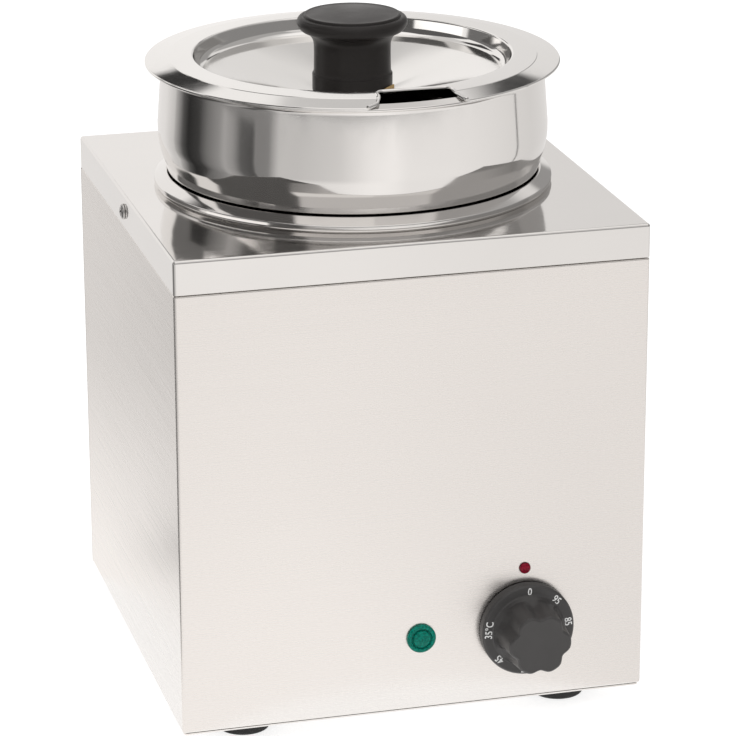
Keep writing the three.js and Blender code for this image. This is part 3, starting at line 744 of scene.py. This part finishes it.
def dial_numbers():
    """Plain temperature numbers, standing a hair proud of the scale disc, their tops outward."""
    meshes = []
    for text, clock in DIAL_MARKS:
        curve = bpy.data.curves.new("number", "FONT")
        curve.body = text
        curve.size = 6.0
        curve.align_x = "CENTER"
        curve.align_y = "CENTER"
        curve.extrude = 0.03
        curve.offset = 0.05
        obj = bpy.data.objects.new("number", curve)
        scene.collection.objects.link(obj)
        mesh = evaluated(obj)
        mesh.transform(Matrix.Diagonal((0.82, 1, 1, 1)))
        mesh.transform(Matrix.Translation((0, 22.9, DISC_FACE + 0.04)))
        mesh.transform(Matrix.Rotation(-math.radians(clock), 4, "Z"))
        meshes.append(mesh)
    return place(merged("numbers", meshes), DIAL_AT, TO_FRONT)


stand_for("dial_grip", dial_mesh(), "dial", ["dial_knob"], sharp=40)
piece("dial_numbers", dial_numbers(), "dial", number_paint)

# ---- lamps ----


def middle_of(node):
    low, high = box_mm(node)
    return (low.x + high.x) / 2, -HALF, (low.z + high.z) / 2


def faceted(point):
    """Small pyramids over the green lamp's inner lens."""
    lens_r, pitch, height = 4.5, 1.3, 0.10
    reach = math.hypot(point.x, point.y)
    if reach > lens_r or point.z < 1.8:
        return point
    wave = math.cos(TAU * (point.x + point.y) / pitch) * math.cos(TAU * (point.x - point.y) / pitch)
    return point + Vector((0, 0, height * wave * min((lens_r - reach) / 0.4, 1)))


def green_mesh():
    face = [Vector((r, 3.0 - 0.9 * (r / 4.8) ** 2)) for r in [4.6 - 0.2 * k for k in range(23)]]
    section = rounded([
        (0, 0.2, 0), (8.25, 0.2, 0.15), (8.25, 1.5, 0.5), (7.4, 2.4, 0.7), (6.1, 2.4, 0.4),
        (5.6, 1.0, 0.2), (5.0, 1.0, 0.2), (4.8, 2.2, 0.2), (4.7, 2.25, 0),
    ], steps=4)
    return turned("green", section + face + [Vector((0, 3.0))], 96, faceted)


def red_mesh():
    section = rounded([
        (0, 0.2, 0), (3.15, 0.2, 0.1), (3.15, 1.0, 0.3), (2.5, 1.7, 0.5), (1.2, 2.25, 1.0), (0, 2.4, 0),
    ], steps=5)
    return turned("red", section, 64)


green_cap = place(green_mesh(), middle_of("green_lamp_lens"), TO_FRONT)
stand_for("green_lamp_cap", green_cap, "base", ["green_lamp_lens"], 20)
red_cap = place(red_mesh(), middle_of("red_lamp_lens"), TO_FRONT)
stand_for("red_lamp_cap", red_cap, "base", ["red_lamp_lens"])

# ---- feet and screws ----


def foot_mesh(node):
    low, high = box_mm(node)
    r = (high.x - low.x) / 2
    section = rounded([
        (6.5, 0, 0.4), (r - 0.7, 0, 0.6), (r, 1.2, 0.6), (r, high.z, 0.5), (2.4, high.z, 0), (2.4, 5, 0),
        (6.5, 5, 0.4),
    ], closed=True, steps=4)
    return place(turned("foot", section, 72), ((low.x + high.x) / 2, (low.y + high.y) / 2, 0))


def screw_mesh(head, height, shank, length):
    """Pan-head screw with a cross recess: the head's underside is at 0 and the shank runs down."""
    brim = 0.35 * height
    angles = [math.pi / 2 * k / 8 for k in range(1, 8)]
    crown = [Vector((head * math.cos(a), brim + (height - brim) * math.sin(a))) for a in angles]
    section = rounded([
        (0, -length, 0), (shank, -length, 0.3), (shank, 0, 0.1), (head, 0, 0.15), (head, brim, 0),
    ], steps=3)
    body = turned("screw", section + crown + [Vector((0, height))], 40)
    slots = []
    for turn in (0, math.pi / 2):
        half, width = head * 0.52, head * 0.13
        outline = [(-half, -width), (half, -width), (half, width), (-half, width)]
        slot = prism(outline, height * 0.42, height + 1)
        slots.append(place(slot, (0, 0, 0), Matrix.Rotation(turn + 0.5, 3, "Z")))
    return carved(body, *slots)


def screw_at(node, axis, underside, turn, head, height, shank, length):
    """A screw for a CAD screw node: underside is where its head sits along the axis."""
    low, high = box_mm(node)
    at = (low + high) / 2
    at[axis] = underside
    screw = place(screw_mesh(head, height, shank, length), at, turn)
    stand_for(node + "_detail", screw, "base", [node])


TO_LEFT = Matrix.Rotation(-math.pi / 2, 3, "Y")
TO_RIGHT = Matrix.Rotation(math.pi / 2, 3, "Y")
for node in sorted(frame["nodes"]):
    low, high = box_mm(node)
    if node.startswith("foot_screw"):
        screw_at(node, 2, low.z + 2.4, DOWNWARD, 4.3, 2.4, 2.0, high.z - low.z - 2.4)
    elif node.startswith("foot_"):
        stand_for(node + "_moulding", foot_mesh(node), "base", [node])
    elif node.startswith("base_screw"):
        screw_at(node, 2, low.z + 2, DOWNWARD, 3.4, 2.0, 1.6, high.z - low.z - 2)
    elif node.startswith("rear_screw"):
        screw_at(node, 1, high.y - 2, TO_REAR, 3.4, 2.0, 1.6, high.y - low.y - 2)
    elif node == "cover_screw_left":
        screw_at(node, 0, low.x + 2.2, TO_LEFT, 4.4, 2.2, 1.9, high.x - low.x - 2.2)
    elif node == "cover_screw_right":
        screw_at(node, 0, high.x - 2.2, TO_RIGHT, 4.4, 2.2, 1.9, high.x - low.x - 2.2)

# CAD nodes whose shape is right stay, with their edges softened where they show.
for node, size in (("rear_panel", 0.25), ("base_plate", 0.2), ("gland_body", 0.3), ("gland_nut", 0.4)):
    obj = frame["nodes"][node]
    weld = obj.modifiers.new("weld", "WELD")
    weld.merge_threshold = 1e-6
    flat = obj.modifiers.new("flat", "DECIMATE")
    flat.decimate_type = "DISSOLVE"
    flat.angle_limit = math.radians(0.5)
    bevel = obj.modifiers.new("bevel", "BEVEL")
    bevel.width = size * MM
    bevel.segments = 3
    bevel.limit_method = "ANGLE"
    bevel.angle_limit = math.radians(40)

# ---- studio ----


def smooth_step(value, start, end):
    t = min(max((value - start) / (end - start), 0), 1)
    return t * t * (3 - 2 * t)


def band(value, low, high, soft):
    """1 between two limits, falling to 0 over a soft edge."""
    return smooth_step(value, low - soft, low) * (1 - smooth_step(value, high, high + soft))


def blend(light, tone, share):
    return light + (tone - light) * share


# Panels and openings of the studio: brightness, azimuths, elevations and the softness of their edges.
# Azimuth is seen from the object: 0 is the front, 90 the right, 180 the rear.
STUDIO = [
    (0.68, 0, 360, 46, 58, 3),
    (1.04, 0, 360, 66, 95, 6),
    (0.62, 161, 169.5, 32, 40, 2),
    (0.10, 288, 322, -10, 30, 6),
    (0.42, 322, 388, -10, 30, 7),
    (0.26, 28, 112, -10, 28, 6),
    (0.34, 105, 147, -10, 22, 4),
    (0.42, 45, 128, 28, 50, 5),
    (0.11, 246, 304, 15, 62, 4),
    (0.17, 214, 308, -10, 3, 2),
    (0.17, 214, 248, -10, 18, 4),
    (1.30, 256, 297, 4.5, 12, 1.5),
    (0.04, 173.6, 184, 19.7, 26, 1.0),
    (0.06, 149, 156.4, 22.0, 30.0, 1.0),
    (0.06, 203, 222, 27, 43, 4),
]


def dome_light(azimuth, elevation):
    """Brightness of the studio seen from the object."""
    light = 0.80 + 0.16 * smooth_step(azimuth % 360, 160, 170)
    for tone, left, right, low, high, soft in STUDIO:
        turns = max(band(azimuth + turn, left, right, soft) for turn in (0, 360))
        light = blend(light, tone, turns * band(elevation, low, high, soft))
    return light


def light_shader(name):
    """Emission whose brightness is the mesh's own light attribute."""
    material = bpy.data.materials.new(name)
    material.use_nodes = True
    nodes, links = material.node_tree.nodes, material.node_tree.links
    nodes.clear()
    attribute = nodes.new("ShaderNodeAttribute")
    attribute.attribute_name = "light"
    emission = nodes.new("ShaderNodeEmission")
    output = nodes.new("ShaderNodeOutputMaterial")
    links.new(attribute.outputs["Color"], emission.inputs["Color"])
    links.new(emission.outputs[0], output.inputs["Surface"])
    return material


def studio_piece(name, mesh, material):
    """Part of the studio: it shows in reflections only."""
    mesh.materials.append(material)
    obj = bpy.data.objects.new(name, mesh)
    scene.collection.objects.link(obj)
    obj.visible_camera = False
    obj.visible_diffuse = False
    obj.visible_shadow = False
    return obj


def lit_grid(name, azimuths, heights, point, light, tint=(1.0, 0.975, 0.955)):
    """A curved screen of azimuth by height, each corner with its own brightness."""
    mesh = bpy.data.meshes.new(name)
    rows, columns = len(heights), len(azimuths)
    verts = [point(a, h) for h in heights for a in azimuths]
    faces = []
    for i in range(rows - 1):
        for j in range(columns - 1):
            k = i * columns + j
            faces.append((k, k + 1, k + columns + 1, k + columns))
    mesh.from_pydata(verts, [], faces)
    colors = mesh.color_attributes.new("light", "FLOAT_COLOR", "POINT")
    values = [light(a, h) for h in heights for a in azimuths]
    for item, value in zip(colors.data, values):
        item.color = (value * tint[0], value * tint[1], value * tint[2], 1)
    return mesh


def span(low, high, count):
    return [low + (high - low) * i / (count - 1) for i in range(count)]


DOME_R = 3.2
DOME_Z = 0.33  # the dome's centre is at the height of the lid, which shows the most of it


def on_dome(azimuth, elevation):
    a, e = math.radians(azimuth), math.radians(elevation)
    outward = Vector((math.sin(a) * math.cos(e), -math.cos(a) * math.cos(e), math.sin(e)))
    return outward * DOME_R + Vector((0, 0, DOME_Z))


glow = light_shader("studio_glow")
dome = lit_grid("studio_dome", span(-180, 180, 361), span(-5.8, 89.9, 131), on_dome, dome_light)
studio_piece("studio_dome", dome, glow)

SCREEN_R = 0.62  # distance of the low upright screens beside the object
FLAG_TONES = [(-134, 0.50), (-129, 0.30), (-124, 0.09), (-118, 0.025), (-108, 0.05), (-101, 0.18),
              (-92, 0.30), (-88, 0.42), (-82, 0.32), (-77, 0.12), (-69, 0.08), (-67.5, 0.30)]


def between_marks(marks, value, otherwise):
    """The tone at a value, in a list of (value, tone) marks."""
    for (a, low), (b, high) in zip(marks, marks[1:]):
        if a <= value <= b:
            return low + (high - low) * (value - a) / (b - a)
    return otherwise


def flag_light(azimuth, height):
    return between_marks(FLAG_TONES, azimuth, 0.5)


def strip_light(azimuth, height):
    return 0.28


def on_screen(azimuth, height):
    a = math.radians(azimuth)
    return Vector((math.sin(a) * SCREEN_R, -math.cos(a) * SCREEN_R, height))


flag = lit_grid("studio_flag", span(-134, -67.5, 62), span(0.02, 0.27, 3), on_screen, flag_light)
studio_piece("studio_flag", flag, glow)
strip = lit_grid("studio_strip", span(88.0, 89.6, 3), span(0.02, 0.27, 3), on_screen, strip_light)
studio_piece("studio_strip", strip, glow)

# Far brightness of the floor in reflections, by azimuth.
FAR_FLOOR = [(-180, 0.86), (-155, 0.84), (-140, 0.62), (-46, 0.62), (-22, 0.72), (-5, 0.96), (8, 1.02),
             (17, 0.93), (45, 0.92), (80, 0.82), (111, 0.74), (150, 0.80), (180, 0.86)]


def floor_light(azimuth, reach):
    """The floor as the steel mirrors it: bright near the object, dark at its left, greyer far off."""
    far = between_marks(FAR_FLOOR, azimuth, 0.74)
    across = reach * math.sin(math.radians(azimuth))
    near = 1.05 - 0.9 * min(max(across, 0), 0.16)
    limit = 0.95
    if abs(azimuth) > 90:
        near = 1.08
        limit = 0.70
    light = blend(near, far, smooth_step(reach, 0.22, limit))
    beside = smooth_step(azimuth, -132, -120) * (1 - smooth_step(azimuth, -64, -56))
    shade = flag_light(azimuth, 0) if reach < SCREEN_R + 0.02 else 0.24
    return blend(light, shade, beside * smooth_step(reach, 0.24, 0.30))


def on_floor(azimuth, reach):
    a = math.radians(azimuth)
    return Vector((math.sin(a) * reach, -math.cos(a) * reach, 0.0006))


sheen = lit_grid("studio_floor", span(-180, 180, 121), span(0.19, 3.2, 90), on_floor, floor_light)
studio_piece("studio_floor", sheen, glow)

floor_mesh = bpy.data.meshes.new("floor")
floor_mesh.from_pydata([(-9, -9, 0), (9, -9, 0), (9, 9, 0), (-9, 9, 0)], [], [(0, 1, 2, 3)])
floor = bpy.data.objects.new("floor", floor_mesh)
scene.collection.objects.link(floor)
paper = Finish("paper", (0.42, 0.42, 0.42), 0.85)
paper.vary_color(paper.noise(paper.place, 3.0, 2.0), 0.004)
paper.set(paper.shader, {"Emission Color": (1, 1, 1, 1), "Emission Strength": 0.74})
floor_mesh.materials.append(paper.material)

world = bpy.data.worlds.new("studio")
scene.world = world
world.use_nodes = True
world.node_tree.nodes["Background"].inputs["Color"].default_value = (1, 0.995, 0.99, 1)
world.node_tree.nodes["Background"].inputs["Strength"].default_value = 0.80


def soft_light(name, position, target, size, power):
    data = bpy.data.lights.new(name, "AREA")
    data.shape = "RECTANGLE"
    data.size, data.size_y = size
    data.energy = power
    obj = bpy.data.objects.new(name, data)
    scene.collection.objects.link(obj)
    obj.location = position
    obj.rotation_mode = "QUATERNION"
    obj.rotation_quaternion = (Vector(target) - Vector(position)).to_track_quat("-Z", "Y")
    obj.visible_glossy = False
    return obj


soft_light("key", (-0.9, -1.5, 2.4), (0, 0, 0.2), (1.6, 1.2), 14)
soft_light("fill", (1.8, -0.6, 1.6), (0, 0, 0.2), (1.2, 1.2), 5)

# ---- camera ----

AZIMUTH, ELEVATION, ROLL = math.radians(-14.91), math.radians(18.78), math.radians(-0.18)
back = Vector((
    math.sin(AZIMUTH) * math.cos(ELEVATION), -math.cos(AZIMUTH) * math.cos(ELEVATION), math.sin(ELEVATION),
))
level = Vector((0, 0, 1)).cross(back).normalized()
upright = back.cross(level)
right = level * math.cos(ROLL) + upright * math.sin(ROLL)
up = upright * math.cos(ROLL) - level * math.sin(ROLL)
camera_data = bpy.data.cameras.new("camera")
camera_data.sensor_width = 36
camera_data.lens = 173.6
camera = bpy.data.objects.new("camera", camera_data)
scene.collection.objects.link(camera)
facing = Matrix((right, up, back)).transposed().to_4x4()
camera.matrix_world = Matrix.Translation((-0.4918, -1.8791, 0.8289)) @ facing
scene.camera = camera
scene.view_settings.view_transform = "Standard"
